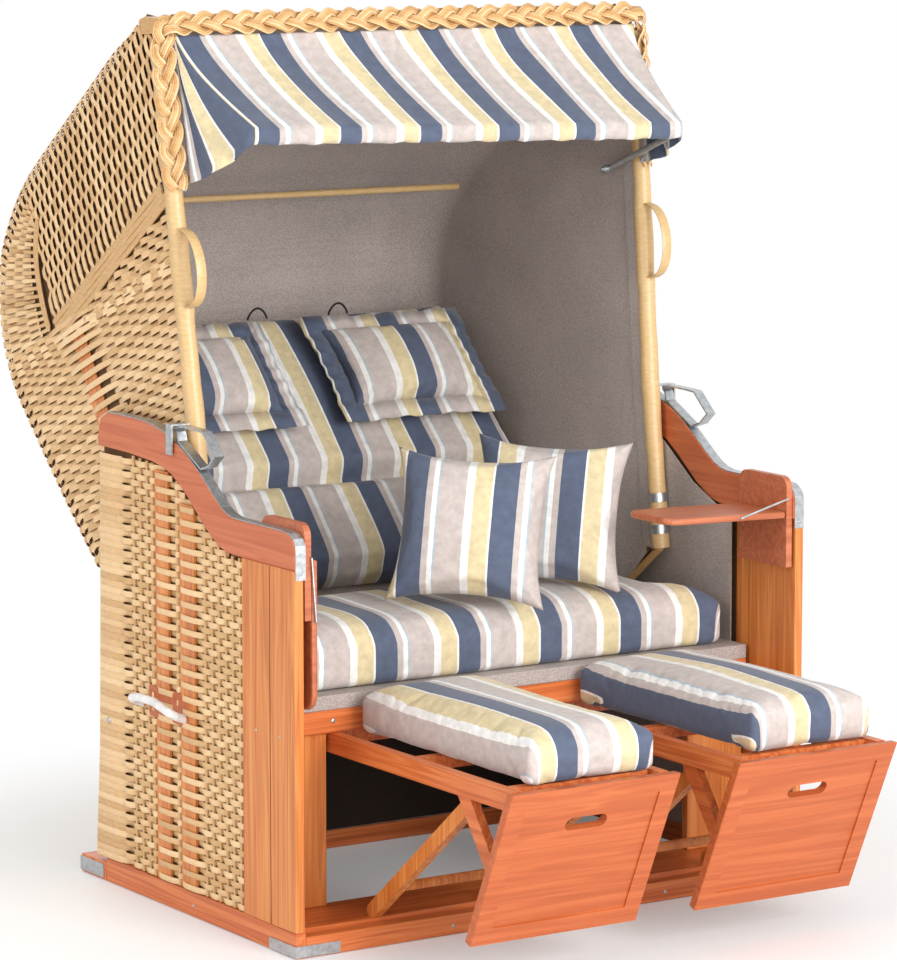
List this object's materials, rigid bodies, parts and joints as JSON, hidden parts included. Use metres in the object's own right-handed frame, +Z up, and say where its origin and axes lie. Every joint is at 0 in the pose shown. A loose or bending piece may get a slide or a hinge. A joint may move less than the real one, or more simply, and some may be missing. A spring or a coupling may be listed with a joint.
{
  "type": "hooded beach chair",
  "caption": "Two-seat beach chair with a reclining woven hood, wooden base, slide-out footrests, folding side tables, a small awning and padded cushions.",
  "frame": {"origin": "centre of the footprint of the bounding box, on the ground", "axes": "+X to the right as seen from the front, +Y towards the back, +Z up"},
  "size_m": [1.1596, 1.6746, 1.6],
  "materials": {
    "wood": "oiled softwood, orange-brown",
    "red_wood": "oiled hardwood, reddish",
    "wicker": "woven straw-coloured strand",
    "steel": "galvanised",
    "white_plastic": "white moulded",
    "grey_fabric": "grey-taupe lining cloth",
    "stripe_fabric": "woven cotton in a wide stripe"
  },
  "bodies": {
    "base": {"arm_strip_left": "steel", "arm_strip_right": "steel", "armrest_left": "red_wood", "armrest_right": "red_wood", "back_panel": "wicker", "carry_handle_left": "white_plastic", "carry_handle_right": "white_plastic", "corner_plate_left": "steel", "corner_plate_right": "steel", "handle_block_left": "wood", "handle_block_right": "wood", "jamb_left": "wood", "jamb_right": "wood", "leg_cushion_left": "stripe_fabric", "leg_cushion_right": "stripe_fabric", "pivot_pin_left": "steel", "pivot_pin_right": "steel", "post_board_front_left": "wood", "post_board_front_right": "wood", "post_board_rear_left": "wood", "post_board_rear_right": "wood", "rail_side_left": "wood", "rail_side_right": "wood", "seat_board": "grey_fabric", "seat_cushion": "stripe_fabric", "seat_rail": "wood", "side_panel_left": "wicker", "side_panel_right": "wicker", "sill_back": "wood", "sill_front": "wood", "table_plate_left": "red_wood", "table_plate_right": "red_wood", "throw_pillow_front": "stripe_fabric", "throw_pillow_rear": "stripe_fabric"},
    "hood": {"hood_shell": "wicker", "hood_post_left": "wicker", "hood_post_right": "wicker", "hood_top_rail": "wicker", "loop_handle_left": "wicker", "loop_handle_right": "wicker", "backrest_board": "grey_fabric", "latch_bracket_left": "steel", "latch_bracket_right": "steel", "back_cushion": "stripe_fabric", "head_pillow_left": "stripe_fabric", "head_pillow_right": "stripe_fabric", "awning_cloth": "stripe_fabric"},
    "awning": {"awning_frame": "steel"},
    "latch_left": {"latch_loop_left": "steel"},
    "latch_right": {"latch_loop_right": "steel"},
    "table_left": {"table_left": "red_wood"},
    "table_right": {"table_right": "red_wood"},
    "stay_left": {"table_stay_left": "steel"},
    "stay_right": {"table_stay_right": "steel"},
    "footrest_left": {"footrest_frame_left": "wood", "footrest_panel_left": "wood", "footrest_strut_left": "wood"},
    "footrest_right": {"footrest_frame_right": "wood", "footrest_panel_right": "wood", "footrest_strut_right": "wood"}
  },
  "joints": [
    {"name": "hood_recline", "type": "hinge", "parent": "base", "child": "hood", "pos_m": [0, 0.18005, 0.46], "axis": [1, 0, 0], "range_deg": [0, 26]},
    {"name": "awning_lift", "type": "hinge", "parent": "hood", "child": "awning", "pos_m": [0, 0.17005, 1.28], "axis": [-1, 0, 0], "range_deg": [0, 45], "deforming": ["awning_cloth"]},
    {"name": "latch_left_lift", "type": "hinge", "parent": "hood", "child": "latch_left", "pos_m": [-0.532, 0.02855, 0.8745], "axis": [-1, 0, 0], "range_deg": [0, 60]},
    {"name": "latch_right_lift", "type": "hinge", "parent": "hood", "child": "latch_right", "pos_m": [0.532, 0.02855, 0.8745], "axis": [-1, 0, 0], "range_deg": [0, 60]},
    {"name": "table_left_fold", "type": "hinge", "parent": "base", "child": "table_left", "pos_m": [-0.5002, -0.3052, 0.6855], "axis": [0, -1, 0], "range_deg": [0, 91.6]},
    {"name": "stay_left_swing", "type": "hinge", "parent": "table_left", "child": "stay_left", "pos_m": [-0.5002, -0.37945, 0.5855], "axis": [0, 1, 0], "range_deg": [0, 20.35]},
    {"name": "table_right_fold", "type": "hinge", "parent": "base", "child": "table_right", "pos_m": [0.5002, -0.3052, 0.6855], "axis": [0, -1, 0], "range_deg": [0, 91.6]},
    {"name": "stay_right_swing", "type": "hinge", "parent": "table_right", "child": "stay_right", "pos_m": [0.4002, -0.37945, 0.68829], "axis": [0, 1, 0], "range_deg": [0, 20.35]},
    {"name": "footrest_left_slide", "type": "slide", "parent": "base", "child": "footrest_left", "axis": [0, 1, 0], "range_m": [0, 0.26]},
    {"name": "footrest_right_slide", "type": "slide", "parent": "base", "child": "footrest_right", "axis": [0, 1, 0], "range_m": [0, 0.26]}
  ],
  "couplings": [
    {"joint": "latch_left_lift", "follows": "hood_recline", "ratio": 2.3},
    {"joint": "latch_right_lift", "follows": "hood_recline", "ratio": 2.3},
    {"joint": "stay_left_swing", "follows": "table_left_fold", "ratio": 0.22216},
    {"joint": "stay_right_swing", "follows": "table_right_fold", "ratio": 0.22216}
  ]
}
